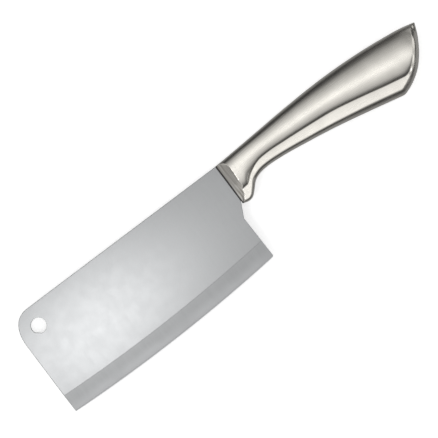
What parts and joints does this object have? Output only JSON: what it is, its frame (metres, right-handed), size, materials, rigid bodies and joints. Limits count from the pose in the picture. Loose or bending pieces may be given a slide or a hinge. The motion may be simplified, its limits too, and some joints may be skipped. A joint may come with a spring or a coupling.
{
  "type": "kitchen cleaver",
  "caption": "All-steel kitchen cleaver: broad plate blade with a hang hole and ground bevel, ramped bolster, finger hollow and hollow welded handle with a slanted butt.",
  "frame": {"origin": "centre of the hang hole, in the middle of the blade's thickness", "axes": "+X from the front edge of the blade towards the butt of the handle, +Y towards the spine, +Z out of the left face of the blade; the cleaver lies on its side"},
  "size_m": [0.297, 0.0712, 0.022],
  "materials": {
    "blade_steel": "satin ground stainless steel, fine grain across the blade",
    "bolster_steel": "stainless steel, coarse ground ramps and satin sides",
    "handle_steel": "warm satin polished stainless steel, fine grain along the handle",
    "weld_metal": "stainless filler metal, ground flush and polished with the handle"
  },
  "bodies": {
    "root": {"blade": "blade_steel", "bolster": "bolster_steel", "bolster_weld": "weld_metal", "handle_shell_left": "handle_steel", "handle_shell_right": "handle_steel", "seam_weld": "weld_metal", "tang_weld": "weld_metal"}
  },
  "joints": []
}
